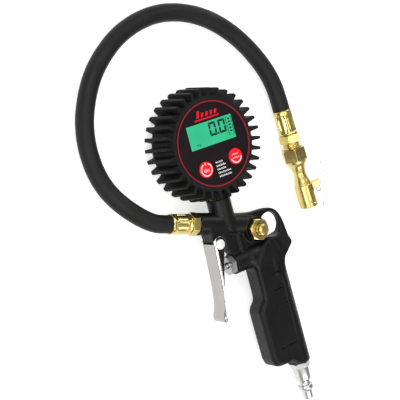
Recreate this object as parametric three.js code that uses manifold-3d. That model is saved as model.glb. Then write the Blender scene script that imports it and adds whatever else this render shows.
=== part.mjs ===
// Tyre inflator with a digital gauge: a die-cast pistol-grip gun, a gauge in a ribbed rubber boot,
// a short whip hose and a clip-on air chuck. Millimetres. It lies on a table on the boot's flat back.
//
// Every piece is placed from one datum: the gauge's axis where it crosses the gun's mid-plane.
// From there +Y runs up the grip, +X to the dial's right and +Z out of the dial.

import * as THREE from 'three';
import { mergeVertices } from 'three/addons/utils/BufferGeometryUtils.js';
import Module from 'manifold-3d';

const wasm = await Module();
wasm.setup();

// ---------------------------------------------------------------- driving dimensions

const GAP = 0.3; // left between pieces that touch
const TABLE_Z = -16.9; // the table, below the gun's mid-plane

const BOOT = { holeR: 29, lipR: 31.6, rootFrontR: 33.4, rootBackR: 35.4, frontZ: 12.8, ribs: 32, ribWidth: 3, firstRib: 2 };
const RIB_OUTLINE = [[32.7, 12.4], [39.4, 14.8], [40.4, 14.1], [42.4, -13.6], [41.2, -15.6], [32.8, -16]];
const CASE = { outerR: 32.2, innerR: 30.4, backZ: -14.6, frontZ: 10.6, wall: 1.8, shelfR: 28.4 };
const POSTS = [[16.5, 19.9], [-16.5, 19.9], [-17.5, -19.4], [17.5, -19.4]]; // board screws
const FACE = { r: 29.1, backZ: 10.9, frontZ: 12.5, ringOuterR: 31.3, ringFrontZ: 12.8 };
const LCD = { x: 0.45, y: 8.1, halfWidth: 19.95, halfHeight: 8.7 };
const BUTTONS = { power_button: { x: -11.9, y: -16.2, r: 6.0 }, unit_button: { x: 15.4, y: -13.9, r: 5.9 } };
const BOARD_Z = 5.8;
const BOARD_THICKNESS = 1.6;
const BATTERY = { r: 5.2, length: 44.5, z: -7.1, y: 5.7 };

const STEM_X = -0.75; // the gauge's brass stem and the riser it screws into
const RISER = { r: 8.95, topY: -41, boreR: 6.8 };
const BARREL = { x: -0.76, y: -60.8, r: 8.3, turn: THREE.MathUtils.degToRad(72), length: 24.7 };
const RELIEF = { x: 20.4, y: -71.7, bossR: 9.2, topZ: 8 };
const VALVE = { y: -90.9, r: 8.3, frontX: -3.6, boreR: 5.6, seatX: 8.2, springEndX: 23.7 };
const PIVOT = { x: -14.1, y: -71.8, holeR: 2.3, earR: 6.1 };
const EYE = { x: 36.6, y: -73, r: 9.3, halfThickness: 3.2 };
const GRIP_HALF = 9;
const INLET = { x: 33.2, faceY: -182.8 };
const TRIGGER = { halfWidth: 8.6, sheet: 1.5 };

const HOSE_R = 6.65;
const FERRULE_R = 7.5;
const CHUCK = { x: 81.6, y: 4.0, z: TABLE_Z + 8.55, turn: 0.046, roll: 0.628 };
const CHUCK_STATIONS = { ferrule: 18.8, nut: 19.1, nutEnd: 25.6, hex: 30.6, hexEnd: 40.4, mouth: 78.6 };
const CLIP_PIVOT = { x: 15.0, s: 60.1 };
const TOOTH = { low: 18.7, high: 19.4, tipX: 4.2 }; // an arc round the clip's pivot

// The free hose: it leaves the gun's fitting, drops to the table, loops round the gauge and ends in the chuck.
const HOSE_ROUTE = [
  [-46.26, -46.02, 0], [-50.1, -44.77, 0], [-56.2, -42.3, -0.2], [-63.0, -37.4, -1.0], [-69.6, -30.7, -2.3],
  [-75.7, -22.9, -4.1], [-80.6, -14.4, -6.3], [-84.0, -5.4, -8.3], [-86.0, 4.2, -9.7], [-86.9, 14.0, -10.2],
  [-86.8, 24.0, -10.2], [-85.4, 33.7, -10.2], [-82.8, 43.0, -10.2], [-78.9, 51.9, -10.2], [-74.1, 60.6, -10.2],
  [-68.0, 69.1, -10.2], [-60.5, 76.9, -10.2], [-51.6, 84.0, -10.2], [-41.4, 90.3, -10.2], [-29.9, 95.0, -10.2],
  [-17.3, 98.0, -10.2], [-4.4, 98.9, -10.2], [7.8, 97.6, -10.2], [20.2, 94.2, -10.2], [32.2, 88.9, -10.2],
  [43.8, 81.4, -10.2], [54.1, 72.2, -10.2], [63.2, 61.7, -10.2], [70.8, 49.9, -9.9], [76.4, 37.9, -9.2],
  [79.8, 26.0, -8.6], [81.1, 14.6, -8.35], [81.58, 4.3, -8.35],
];

const FINISH = {
  blackCasting: { color: 0x17181a, roughness: 0.55, metalness: 0.2 },
  rubber: { color: 0x141414, roughness: 0.8, metalness: 0 },
  blackPlastic: { color: 0x1b191b, roughness: 0.25, metalness: 0 },
  red: { color: 0xc01f2e, roughness: 0.35, metalness: 0 },
  lcdGreen: { color: 0x2fc088, roughness: 0.3, metalness: 0 },
  clear: { color: 0xcfe0da, roughness: 0.05, metalness: 0 },
  board: { color: 0x1d5a33, roughness: 0.6, metalness: 0 },
  brass: { color: 0xc9b45f, roughness: 0.25, metalness: 1 },
  steel: { color: 0xbfc1c3, roughness: 0.3, metalness: 1 },
  chrome: { color: 0xd8d6d3, roughness: 0.12, metalness: 1 },
  cell: { color: 0x2b3a55, roughness: 0.4, metalness: 0.3 },
};

// ---------------------------------------------------------------- solids

// A closed three.js geometry as a manifold solid.
function solid(geometry) {
  const bare = geometry.clone();
  bare.deleteAttribute('normal');
  bare.deleteAttribute('uv');
  const merged = mergeVertices(bare, 1e-4);
  const index = merged.index.array;
  const triVerts = [];
  for (let i = 0; i < index.length; i += 3) {
    const [a, b, c] = [index[i], index[i + 1], index[i + 2]];
    if (a !== b && b !== c && c !== a) triVerts.push(a, b, c);
  }
  const vertProperties = new Float32Array(merged.attributes.position.array);
  return new wasm.Manifold(new wasm.Mesh({ numProp: 3, vertProperties, triVerts: new Uint32Array(triVerts) }));
}

function join(...pieces) {
  return pieces.reduce((all, piece) => all.add(piece));
}

function cut(body, ...tools) {
  return tools.reduce((left, tool) => left.subtract(tool), body);
}

function toGeometry(shape) {
  const mesh = shape.getMesh();
  const geometry = new THREE.BufferGeometry();
  geometry.setAttribute('position', new THREE.BufferAttribute(new Float32Array(mesh.vertProperties), 3));
  geometry.setIndex(new THREE.BufferAttribute(new Uint32Array(mesh.triVerts), 1));
  geometry.computeVertexNormals();
  return geometry;
}

// Turns a geometry built up +Y so that it runs along +X or +Z instead.
const UP = {
  x: (geometry) => geometry.rotateZ(-Math.PI / 2),
  y: (geometry) => geometry,
  z: (geometry) => geometry.rotateX(Math.PI / 2),
};

// A round bar from low to high along an axis, through the point (x, y, z) on its other two axes.
function rod(r, low, high, { axis = 'y', x = 0, y = 0, z = 0, sides = 18 } = {}) {
  const bar = new THREE.CylinderGeometry(r, r, high - low, sides).translate(0, (low + high) / 2, 0);
  return solid(UP[axis](bar).translate(x, y, z));
}

// A hexagonal bar; a roll of 30 degrees turns a flat where a corner was.
function hexBar(acrossFlats, low, high, { axis = 'y', x = 0, y = 0, z = 0, roll = 0 } = {}) {
  const r = acrossFlats / Math.sqrt(3);
  const bar = new THREE.CylinderGeometry(r, r, high - low, 6).rotateY(roll).translate(0, (low + high) / 2, 0);
  return solid(UP[axis](bar).translate(x, y, z));
}

// A turned piece from a profile of [radius, height] points that starts and ends on the axis, low end first.
function turned(profile, { axis = 'y', x = 0, y = 0, z = 0, sides = 18 } = {}) {
  const points = profile.map(([r, h]) => new THREE.Vector2(r, h));
  return solid(UP[axis](new THREE.LatheGeometry(points, sides)).translate(x, y, z));
}

// A turned ring from a profile that closes on itself, listed from its low inner corner outwards.
function ring(profile, options) {
  return turned([...profile, profile[0]], options);
}

function washer(innerR, outerR, low, high, options) {
  return ring([[innerR, low], [outerR, low], [outerR, high], [innerR, high]], options);
}

function block([x0, x1], [y0, y1], [z0, z1]) {
  const box = new THREE.BoxGeometry(x1 - x0, y1 - y0, z1 - z0);
  return solid(box.translate((x0 + x1) / 2, (y0 + y1) / 2, (z0 + z1) / 2));
}

// A plate of an XY outline between two heights, with its edges eased by bevel.
function plate(outline, low, high, bevel = 0, hole = null) {
  const shape = new THREE.Shape(outline.map(([x, y]) => new THREE.Vector2(x, y)));
  if (hole) shape.holes.push(new THREE.Path().absarc(hole.x, hole.y, hole.r, 0, 2 * Math.PI));
  const bevels = { bevelEnabled: bevel > 0, bevelThickness: bevel, bevelSize: bevel, bevelOffset: -bevel };
  const depth = high - low - 2 * bevel;
  const geometry = new THREE.ExtrudeGeometry(shape, { depth, steps: 1, curveSegments: 12, bevelSegments: 2, ...bevels });
  return solid(geometry.translate(0, 0, low + bevel));
}

// Points along a smooth curve through a few outline points.
function smooth(points, count) {
  const curve = new THREE.SplineCurve(points.map(([x, y]) => new THREE.Vector2(x, y)));
  return curve.getSpacedPoints(count).map((p) => [p.x, p.y]);
}

// A helical wire spring standing on y = 0.
function coilSpring(meanR, wireR, length, turns, stepsPerTurn = 10) {
  const steps = turns * stepsPerTurn;
  const rise = length - 2 * wireR;
  const points = Array.from({ length: steps + 1 }, (_, i) => {
    const angle = (2 * Math.PI * i) / stepsPerTurn;
    return new THREE.Vector3(meanR * Math.cos(angle), wireR + (rise * i) / steps, meanR * Math.sin(angle));
  });
  return new THREE.ExtrudeGeometry(circle(wireR, 4), {
    steps, bevelEnabled: false, extrudePath: new THREE.CatmullRomCurve3(points),
  });
}

function circle(r, sides) {
  const corners = Array.from({ length: sides }, (_, i) => {
    const angle = (2 * Math.PI * i) / sides;
    return new THREE.Vector2(r * Math.cos(angle), r * Math.sin(angle));
  });
  return new THREE.Shape(corners);
}

// ---------------------------------------------------------------- scene graph

const inflator = new THREE.Group();
const gun = new THREE.Group(); // gun, gauge and everything on them
const hoseOutlet = new THREE.Group(); // local +Y runs out along the hose's start
const whip = new THREE.Group(); // the free hose
const chuck = new THREE.Group(); // local +Y points back up the hose
inflator.add(gun, whip);
gun.add(hoseOutlet);
whip.add(chuck);
hoseOutlet.position.set(BARREL.x, BARREL.y, 0);
hoseOutlet.rotation.z = BARREL.turn;
chuck.position.set(CHUCK.x, CHUCK.y, CHUCK.z);
chuck.rotation.set(0, -CHUCK.roll, CHUCK.turn, 'ZYX');

function add(name, shape, finish, parent = gun) {
  const geometry = shape.isBufferGeometry ? shape : toGeometry(shape);
  const mesh = new THREE.Mesh(geometry, new THREE.MeshStandardMaterial(finish));
  mesh.name = name;
  parent.add(mesh);
}

// ---------------------------------------------------------------- gun casting

// A solid that is drawn in the hose outlet's own frame, moved to the gun's.
function atOutlet(shape) {
  hoseOutlet.updateMatrix();
  return shape.transform(hoseOutlet.matrix.elements);
}

// The grip: a flat-sided blank at the fingers, and a round back round the air passage.
function gripBlank() {
  const front = [[11.4, -96], [11.4, -121.5], [10.6, -125.6], [6.6, -129], [4.7, -132.4], [4.9, -150], [5.2, -170.5]];
  const base = [[6.8, -175.6], [10.4, -177.4], [21.9, -177.4], [24.8, -180.4], [28, INLET.faceY], [36, INLET.faceY]];
  const top = [[36, -96], [34.5, -89.5], [31.5, -81.4], [14, -83.5]];
  const back = [[0, INLET.faceY], [7.8, INLET.faceY], [GRIP_HALF, -181.4], [GRIP_HALF, -102], [7.6, -97], [4.4, -93.4], [0, -92]];
  return join(plate([...front, ...base, ...top], -GRIP_HALF, GRIP_HALF, 2.4), turned(back, { x: 32.6, sides: 32 }));
}

// The beak over the hand's web, and the shoulder that slopes up to the hanging eye.
function beak() {
  const outline = [[28, -80.8], [50.4, -82], [51, -86.5], [52.1, -89.6], [52.2, -91.3], [51.4, -92.8],
    [48.7, -94.8], [45.6, -97], [43.2, -99.6], [41.8, -102.4], [41.3, -108], [28, -108]];
  return plate([...outline].reverse(), -5.4, 5.4, 2);
}

// The hanging eye: a flat plate with a round hole, behind the barrel.
function eyePlate() {
  const outline = [[10, -57.4], [17, -58.6], [23.7, -59.4], [29.3, -59.6], [35, -59.9], [40.2, -60.9], [43.6, -62.8],
    [46.8, -66.2], [48.8, -71.2], [49.9, -77], [50.9, -86], [28, -90], [10, -76]];
  return plate([...outline].reverse(), -EYE.halfThickness, EYE.halfThickness, 0.9, EYE);
}

function web() {
  const sheet = plate([[-3.8, -64], [-5.2, -80.5], [-3.5, -83.2], [-3.5, -88], [22, -90], [22, -66]], -4, 4);
  const rib = block([4.5, 8.3], [-86, -66], [-5.2, 5.2]);
  return join(sheet, rib);
}

// The lug that the trigger hangs on: full width under the barrel, a narrow tongue round the pivot.
function triggerLug() {
  const lug = plate([[-18.5, -58], [-18.5, -69], [-16.4, -70.2], [-14.6, -76], [-10.5, -76], [-4, -70], [-4, -58]], -7.6, 7.6);
  const cheek = (low, high) => rod(PIVOT.earR + 0.6, low, high, { axis: 'z', x: PIVOT.x, y: PIVOT.y, sides: 24 });
  const below = (low, high) => block([-24, -2.5], [-90, PIVOT.y], [low, high]);
  return cut(lug, cheek(6.6, 9), cheek(-9, -6.6), below(6.6, 9), below(-9, -6.6));
}

function gunBody() {
  const { x: reliefX, y: reliefY } = RELIEF;
  const shell = join(
    gripBlank(), beak(), eyePlate(), web(), triggerLug(),
    rod(RISER.r, -62, RISER.topY, { x: STEM_X, sides: 24 }),
    atOutlet(rod(BARREL.r, -22, BARREL.length, { sides: 24 })),
    rod(RELIEF.bossR, -8, RELIEF.topZ, { axis: 'z', x: reliefX, y: reliefY, sides: 24 }),
    rod(VALVE.r, VALVE.frontX, 20, { axis: 'x', y: VALVE.y, sides: 24 }),
  );
  return cut(
    shell,
    rod(RISER.boreR, -53, RISER.topY + 1, { x: STEM_X }),
    rod(4, -62, -52, { x: STEM_X, sides: 16 }),
    atOutlet(rod(6.9, 13, BARREL.length + 1)),
    atOutlet(rod(3, -22, 14, { sides: 16 })),
    rod(6.3, -1.9, RELIEF.topZ + 1, { axis: 'z', x: reliefX, y: reliefY }),
    rod(4.2, -6.4, -1, { axis: 'z', x: reliefX, y: reliefY, sides: 16 }),
    rod(VALVE.boreR, VALVE.frontX - 1, 24, { axis: 'x', y: VALVE.y }),
    rod(3, 23, INLET.x, { axis: 'x', y: VALVE.y, sides: 16 }),
    rod(1.6, VALVE.y, -63, { x: 6.4, sides: 12 }),
    rod(6.9, INLET.faceY - 1, -168, { x: INLET.x }),
    rod(4, -169, VALVE.y - 2, { x: INLET.x, sides: 16 }),
    rod(PIVOT.holeR, -10, 10, { axis: 'z', x: PIVOT.x, y: PIVOT.y, sides: 20 }),
  );
}

// ---------------------------------------------------------------- fittings on the gun

function gaugeStem() {
  const thread = turned([[0, -52.5], [6, -52.5], [6.5, -51.5], [6.5, -40.4], [0, -40.4]], { x: STEM_X });
  const neck = rod(5.6, -37, -30.5, { x: STEM_X });
  const hex = hexBar(13.4, RISER.topY + GAP, -36, { x: STEM_X });
  return cut(join(thread, hex, neck), rod(2.2, -54, -29, { x: STEM_X, sides: 12 }));
}

function hoseFitting() {
  const end = BARREL.length;
  const thread = rod(6.5, 13.3, end + 1);
  const hex = hexBar(15, end + GAP, end + 6.2, { roll: Math.PI / 6 });
  const barb = rod(3.7, end + 6, end + 21.5, { sides: 16 });
  return cut(join(thread, hex, barb), rod(2.3, 12, end + 23, { sides: 12 }));
}

// A crimped sleeve; the hose's wall inside it is part of the same ring.
function ferrule(low, high, r = FERRULE_R) {
  return washer(4, r, low, high);
}

function valveNut() {
  const at = { axis: 'x', y: VALVE.y };
  const hex = hexBar(14, -8.1, VALVE.frontX - GAP, { ...at, roll: 0.2 });
  const thread = rod(5.3, VALVE.frontX - 1, 4, at);
  return cut(join(hex, thread), rod(2.6, -9, 5, { ...at, sides: 16 }), rod(4.2, 1.5, 5, { ...at, sides: 16 }));
}

function triggerPin() {
  const at = { axis: 'z', x: PIVOT.x, y: PIVOT.y };
  return join(rod(2, -9.4, 9.4, { ...at, sides: 16 }), rod(4.2, 8.9, 9.6, at), rod(4.2, -9.6, -8.9, at));
}

function inletNipple() {
  const hexEnd = INLET.faceY - GAP - 4.2;
  const plug = turned([
    [0, -213.3], [3.4, -213.3], [4, -212.4], [4.4, -206.6], [5.2, -205.4], [5.95, -204.6], [5.95, -202.4],
    [4.4, -200.9], [4.4, -198.6], [6.1, -197], [6.1, hexEnd + 0.5], [0, hexEnd + 0.5],
  ], { x: INLET.x });
  const hex = hexBar(14, hexEnd, INLET.faceY - GAP, { x: INLET.x });
  const thread = rod(6.5, INLET.faceY - 1, -168.3, { x: INLET.x });
  const bore = rod(2.8, -215, -167, { x: INLET.x, sides: 16 });
  return cut(join(plug, hex, thread), bore, rod(4.5, -171, -167, { x: INLET.x, sides: 16 }));
}

function reliefBody() {
  const at = { axis: 'z', x: RELIEF.x, y: RELIEF.y };
  const hex = hexBar(15, RELIEF.topZ + GAP, 12.5, { ...at, roll: 0.15 });
  const thread = rod(6, -1.6, 9, at);
  return cut(join(hex, thread), rod(4.5, 4, 13, at), rod(2.6, -2, 5, { ...at, sides: 16 }));
}

function reliefButton() {
  return turned([
    [0, -4], [3.4, -4], [3.4, -2], [2, -2], [2, 9], [4.1, 9], [4.1, 16.4], [3.2, 17.4], [0, 17.4],
  ], { axis: 'z', x: RELIEF.x, y: RELIEF.y });
}

// ---------------------------------------------------------------- trigger and air valve

// The pressed-steel trigger: a channel with side flanges, pivot ears and a flared end.
function trigger() {
  const { halfWidth, sheet } = TRIGGER;
  const front = smooth([[-19.1, -70.6], [-20.3, -90.2], [-21.5, -106], [-23.4, -117.5], [-26.6, -123.5],
    [-26.9, -127], [-24.4, -129.5]], 14);
  const inner = smooth([[-23.6, -128.3], [-25.2, -126.2], [-25, -123.8], [-21.9, -117.8], [-20, -105.8],
    [-18.8, -90.1], [-17.6, -70.6]], 14);
  const face = plate([...front, ...inner], -halfWidth, halfWidth);
  const flange = [[-18.7, -70.6], [-19.9, -90.2], [-21.1, -106], [-23.2, -117.5], [-24.3, -120.4],
    [-23.7, -120.4], [-21.5, -111.9], [-20.1, -104.7], [-16.2, -90.7], [-12.2, -78.2], [-9, -75]];
  const side = (low, high) => join(
    plate(flange, low, high),
    rod(PIVOT.earR, low, high, { axis: 'z', x: PIVOT.x, y: PIVOT.y, sides: 20 }),
  );
  const hole = rod(PIVOT.holeR, -10, 10, { axis: 'z', x: PIVOT.x, y: PIVOT.y, sides: 20 });
  return cut(join(face, side(halfWidth - sheet, halfWidth), side(-halfWidth, sheet - halfWidth)), hole);
}

function valveStem() {
  const dome = [[0, -18.2], [1.4, -18.1], [2.25, -17.4], [2.25, VALVE.seatX + 3], [0, VALVE.seatX + 3]];
  return turned(dome, { axis: 'x', y: VALVE.y, sides: 16 });
}

// ---------------------------------------------------------------- gauge

// A hole along the stem, out through the bottom of the case and boot.
function stemHole(r) {
  return rod(r, -46, -28, { x: STEM_X });
}

function gaugeBoot() {
  const { holeR, lipR, rootFrontR, rootBackR, frontZ } = BOOT;
  const inner = CASE.outerR + GAP;
  const lipBottom = CASE.backZ - GAP;
  const sleeve = ring([
    [holeR, TABLE_Z], [rootBackR - 1, TABLE_Z], [rootBackR, TABLE_Z + 1], [rootFrontR, frontZ - 0.6],
    [rootFrontR - 0.6, frontZ], [lipR, frontZ], [lipR, CASE.frontZ + GAP], [inner, CASE.frontZ + GAP],
    [inner, lipBottom], [holeR, lipBottom],
  ], { axis: 'z', sides: 36 });
  const rib = plate(RIB_OUTLINE.map(([r, z]) => [r, z]).reverse(), -BOOT.ribWidth / 2, BOOT.ribWidth / 2);
  const standing = rib.rotate([90, 0, 0]);
  const step = 360 / BOOT.ribs;
  const ribs = Array.from({ length: BOOT.ribs }, (_, i) => standing.rotate([0, 0, BOOT.firstRib + i * step]));
  return cut(join(sleeve, ...ribs), stemHole(9.4));
}

function gaugeCase() {
  const { outerR, innerR, backZ, frontZ, wall, shelfR } = CASE;
  const shell = ring([
    [0.001, backZ], [outerR, backZ], [outerR, frontZ], [shelfR, frontZ], [shelfR, frontZ - 1.2],
    [innerR, frontZ - 1.2], [innerR, backZ + wall], [0.001, backZ + wall],
  ], { axis: 'z', sides: 36 });
  const posts = POSTS.map(([x, y]) => rod(2.3, backZ + 1, BOARD_Z - GAP, { axis: 'z', x, y, sides: 12 }));
  const pilots = POSTS.map(([x, y]) => rod(1.3, -3, BOARD_Z + 1, { axis: 'z', x, y, sides: 10 }));
  const batteryDoor = block([-25, 25], [-13, 13], [backZ - 1, backZ + wall + 0.5]);
  return cut(join(shell, ...posts), batteryDoor, stemHole(6.2), ...pilots);
}

function facePlate() {
  const disc = rod(FACE.r, FACE.backZ, FACE.frontZ, { axis: 'z', sides: 40 });
  const { x, y, halfWidth, halfHeight } = LCD;
  const window = block([x - halfWidth, x + halfWidth], [y - halfHeight, y + halfHeight], [10, 14]);
  const holes = Object.values(BUTTONS).map((b) => rod(b.r + 0.3, 10, 14, { axis: 'z', x: b.x, y: b.y, sides: 20 }));
  return cut(disc, window, ...holes);
}

function lcdSlab(margin, low, high) {
  const { x, y } = LCD;
  const [w, h] = [LCD.halfWidth + margin, LCD.halfHeight + margin];
  return block([x - w, x + w], [y - h, y + h], [low, high]);
}

function circuitBoard() {
  const board = rod(28.2, BOARD_Z, BOARD_Z + BOARD_THICKNESS, { axis: 'z', sides: 40 });
  return cut(board, ...POSTS.map(([x, y]) => rod(1.4, 5, 9, { axis: 'z', x, y, sides: 10 })));
}

function boardScrew([x, y]) {
  const top = BOARD_Z + BOARD_THICKNESS;
  const shape = [[0, -2.6], [1, -2], [1, top + GAP], [2.1, top + GAP], [2.1, top + 1.2], [0, top + 1.5]];
  return turned(shape, { axis: 'z', x, y, sides: 12 });
}

function button({ x, y, r }) {
  const cap = [[0, 9.1], [2, 9.1], [2, 11.2], [r, 11.2], [r, 12.6], [r - 0.6, 13.1], [0, 13.1]];
  return turned(cap, { axis: 'z', x, y, sides: 20 });
}

function tactSwitch({ x, y }) {
  const low = BOARD_Z + BOARD_THICKNESS + GAP;
  return block([x - 3, x + 3], [y - 3, y + 3], [low, 8.6]);
}

function battery(y) {
  const half = BATTERY.length / 2;
  const cell = [[0, -half], [BATTERY.r, -half], [BATTERY.r, half - 1], [1.9, half - 1], [1.9, half], [0, half]];
  return turned(cell, { axis: 'x', y, z: BATTERY.z, sides: 20 });
}

function batteryContact(side) {
  const x = side * (BATTERY.length / 2 + 0.6);
  return block([x - 0.3, x + 0.3], [-11, 11], [CASE.backZ + CASE.wall + GAP, BATTERY.z + 4]);
}

function buildGauge() {
  add('gauge_boot', gaugeBoot(), FINISH.rubber);
  add('gauge_case', gaugeCase(), FINISH.blackPlastic);
  add('battery_cover', block([-24.7, 24.7], [-12.7, 12.7], [CASE.backZ, CASE.backZ + CASE.wall]), FINISH.blackPlastic);
  add('face_plate', facePlate(), FINISH.blackPlastic);
  const ringBand = washer(FACE.r + GAP, FACE.ringOuterR, FACE.backZ, FACE.ringFrontZ, { axis: 'z', sides: 40 });
  add('face_ring', ringBand, FINISH.red);
  add('lcd_window', lcdSlab(-GAP, FACE.backZ, FACE.frontZ), FINISH.clear);
  add('lcd_panel', lcdSlab(0.5, 9, FACE.backZ - GAP), FINISH.lcdGreen);
  add('lcd_backlight', lcdSlab(0.2, BOARD_Z + BOARD_THICKNESS + GAP, 9 - GAP), FINISH.clear);
  add('circuit_board', circuitBoard(), FINISH.board);
  POSTS.forEach((post, i) => add(`board_screw_${i + 1}`, boardScrew(post), FINISH.steel));
  Object.entries(BUTTONS).forEach(([name, place]) => {
    add(name, button(place), FINISH.red);
    add(name.replace('button', 'switch'), tactSwitch(place), FINISH.blackPlastic);
  });
  add('battery_1', battery(BATTERY.y), FINISH.cell);
  add('battery_2', battery(-BATTERY.y), FINISH.cell);
  add('battery_contact_left', batteryContact(-1), FINISH.steel);
  add('battery_contact_right', batteryContact(1), FINISH.steel);
  add('pressure_sensor', rod(5.2, -30.2, -22, { x: STEM_X }), FINISH.steel);
}

// ---------------------------------------------------------------- gun assembly

function buildGun() {
  add('gun_body', gunBody(), FINISH.blackCasting);
  add('gauge_stem', gaugeStem(), FINISH.brass);
  const seal = ring([[5.9, -34.2], [7.2, -35.6], [8.5, -34.2], [7.2, -32.8]], { x: STEM_X, sides: 20 });
  add('stem_seal', seal, FINISH.rubber);
  add('trigger_pin', triggerPin(), FINISH.steel);
  add('trigger', trigger(), FINISH.chrome);
  add('inlet_nipple', inletNipple(), FINISH.steel);
  add('inlet_filter', rod(4.2, -170.7, -168.6, { x: INLET.x, sides: 16 }), FINISH.steel);
  add('hose_fitting', hoseFitting(), FINISH.brass, hoseOutlet);
  const sleeveStart = BARREL.length + 6.2 + GAP;
  add('gun_ferrule', ferrule(sleeveStart, sleeveStart + 16.3), FINISH.brass, hoseOutlet);
}

function buildAirValve() {
  const at = { axis: 'x', y: VALVE.y };
  const { seatX, springEndX } = VALVE;
  add('valve_nut', valveNut(), FINISH.steel);
  add('valve_seal', washer(2.55, 3.9, 1.8, 3.7, { ...at, sides: 16 }), FINISH.rubber);
  add('valve_stem', valveStem(), FINISH.steel);
  add('valve_seat', washer(3, 5.3, seatX, seatX + 3, at), FINISH.brass);
  add('valve_poppet', rod(4.4, seatX + 3.3, seatX + 6.3, at), FINISH.rubber);
  const spring = coilSpring(3.6, 0.5, springEndX - seatX - 6.6, 4);
  add('valve_spring', UP.x(spring).translate(seatX + 6.6, VALVE.y, 0), FINISH.steel);
}

function buildReliefValve() {
  add('relief_body', reliefBody(), FINISH.brass);
  add('relief_button', reliefButton(), FINISH.brass);
  const spring = coilSpring(3.3, 0.45, 4.4, 3);
  add('relief_spring', UP.z(spring).translate(RELIEF.x, RELIEF.y, 4.3), FINISH.steel);
}

// ---------------------------------------------------------------- hose and chuck

function hose() {
  const route = new THREE.CatmullRomCurve3(HOSE_ROUTE.map((p) => new THREE.Vector3(...p)));
  return new THREE.ExtrudeGeometry(circle(HOSE_R, 10), { steps: 36, bevelEnabled: false, extrudePath: route });
}

function chuckFitting() {
  const { nut, nutEnd, hex } = CHUCK_STATIONS;
  const barb = rod(3.7, -nut - 1, -3, { sides: 16 });
  const lockNut = hexBar(15.2, -nutEnd, -nut, { roll: 0.895 });
  const thread = rod(6.8, -hex - 4.4, -nutEnd + 1);
  return cut(join(barb, lockNut, thread), rod(2.2, -hex - 6, 0, { sides: 12 }));
}

// The brass chuck: hexagon, waisted neck, and a plain barrel that takes the tyre valve. An arm holds the clip.
function chuckBody() {
  const { hex, hexEnd, mouth } = CHUCK_STATIONS;
  const { x, s } = CLIP_PIVOT;
  const head = hexBar(17, -hexEnd, -hex, { roll: Math.PI / 6 + CHUCK.roll });
  const neck = turned([
    [0, -mouth], [6.6, -mouth], [7.05, -mouth + 0.5], [7.05, -60.4], [6.5, -58], [5.6, -56], [4.9, -53.5],
    [4.7, -51.5], [4.9, -48.5], [6.1, -45], [7.2, -43.5], [8.4, -hexEnd - 1.4], [8.4, -hexEnd + 0.1], [0, -hexEnd + 0.1],
  ], { sides: 20 });
  const arm = plate([[5.5, -60.6], [13.8, -59.2], [15.6, -61.4], [9.8, -63.9], [5.5, -67]].reverse(), -2.8, 2.8);
  const armEnd = rod(1.5, -2.8, 2.8, { axis: 'z', x, y: -s, sides: 16 });
  return cut(
    join(head, neck, arm, armEnd),
    rod(7.1, -hex - 5, -hex + 1),
    rod(2.4, -62, -hex, { sides: 12 }),
    rod(4.6, -mouth - 1, -60.5, { sides: 20 }),
    rod(1.1, -4, 4, { axis: 'z', x, y: -s, sides: 12 }),
    plate(arcBand(TOOTH.low - 0.25, TOOTH.high + 0.25, 2.4, 7.6), -8, 8),
  );
}

// The part of a ring round the clip's pivot between two x values, on the mouth's side of it.
function arcBand(innerR, outerR, lowX, highX, steps = 4) {
  const at = (r, x) => [x, -CLIP_PIVOT.s - Math.sqrt(r * r - (x - CLIP_PIVOT.x) ** 2)];
  const xs = Array.from({ length: steps + 1 }, (_, i) => lowX + ((highX - lowX) * i) / steps);
  return [...xs.map((x) => at(outerR, x)), ...xs.reverse().map((x) => at(innerR, x))];
}

// The clip: a bent thumb lever, two cheeks on the pivot pin, and a tooth that grips the tyre valve.
function clip() {
  const outer = [
    [22.9, -34.8], [19.4, -44.2], [18.6, -47.5], [18.3, -50.4], [18.4, -53.8], [18.1, -57], [17.9, -60],
    [17.6, -62.3], [14.1, -74.9], [12.7, -77.6], [11.6, -80.2],
  ];
  const inner = [
    [10.6, -80], [11.9, -77.3], [13.3, -74.7], [16.8, -62.2], [17.1, -60], [17.3, -57], [17.6, -53.8],
    [17.5, -50.4], [17.8, -47.4], [18.6, -44], [22.1, -34.5],
  ];
  const leaf = plate([...outer, ...inner].reverse(), -4.2, 4.2);
  const tooth = plate(arcBand(TOOTH.low, TOOTH.high, TOOTH.tipX, 11.4), -3, 3);
  const cheekOutline = [
    [18.1, -47], [17.2, -47.8], [15.1, -55.4], [13.2, -59.4], [13.2, -61.2], [14.6, -62.3], [17.1, -62.3], [17.5, -60],
    [17.9, -54],
  ];
  const cheek = (low, high) => plate([...cheekOutline], low, high);
  const pinHole = rod(1.3, -6, 6, { axis: 'z', x: CLIP_PIVOT.x, y: -CLIP_PIVOT.s, sides: 24 });
  return cut(join(leaf, tooth, cheek(3.4, 4.2), cheek(-4.2, -3.4)), pinHole);
}

// A torsion spring between the barrel and the clip: one leg under the arm, the other against the lever.
function clipSpring() {
  const coil = { x: 10.7, y: -67.2, r: 1.5, turns: 2.75, steps: 33, pitch: 0.78 };
  const low = -(coil.turns * coil.pitch) / 2;
  const points = [new THREE.Vector3(coil.x + coil.r + 0.05, -64, low), new THREE.Vector3(coil.x + coil.r, -65.6, low)];
  for (let i = 0; i <= coil.steps; i += 1) {
    const turn = (coil.turns * i) / coil.steps;
    const angle = -2 * Math.PI * turn;
    points.push(new THREE.Vector3(
      coil.x + coil.r * Math.cos(angle), coil.y + coil.r * Math.sin(angle), low + turn * coil.pitch,
    ));
  }
  points.push(new THREE.Vector3(12.4, coil.y + coil.r, -low), new THREE.Vector3(14.9, coil.y + coil.r, -low));
  return new THREE.ExtrudeGeometry(circle(0.3, 4), {
    steps: 44, bevelEnabled: false, extrudePath: new THREE.CatmullRomCurve3(points),
  });
}

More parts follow.
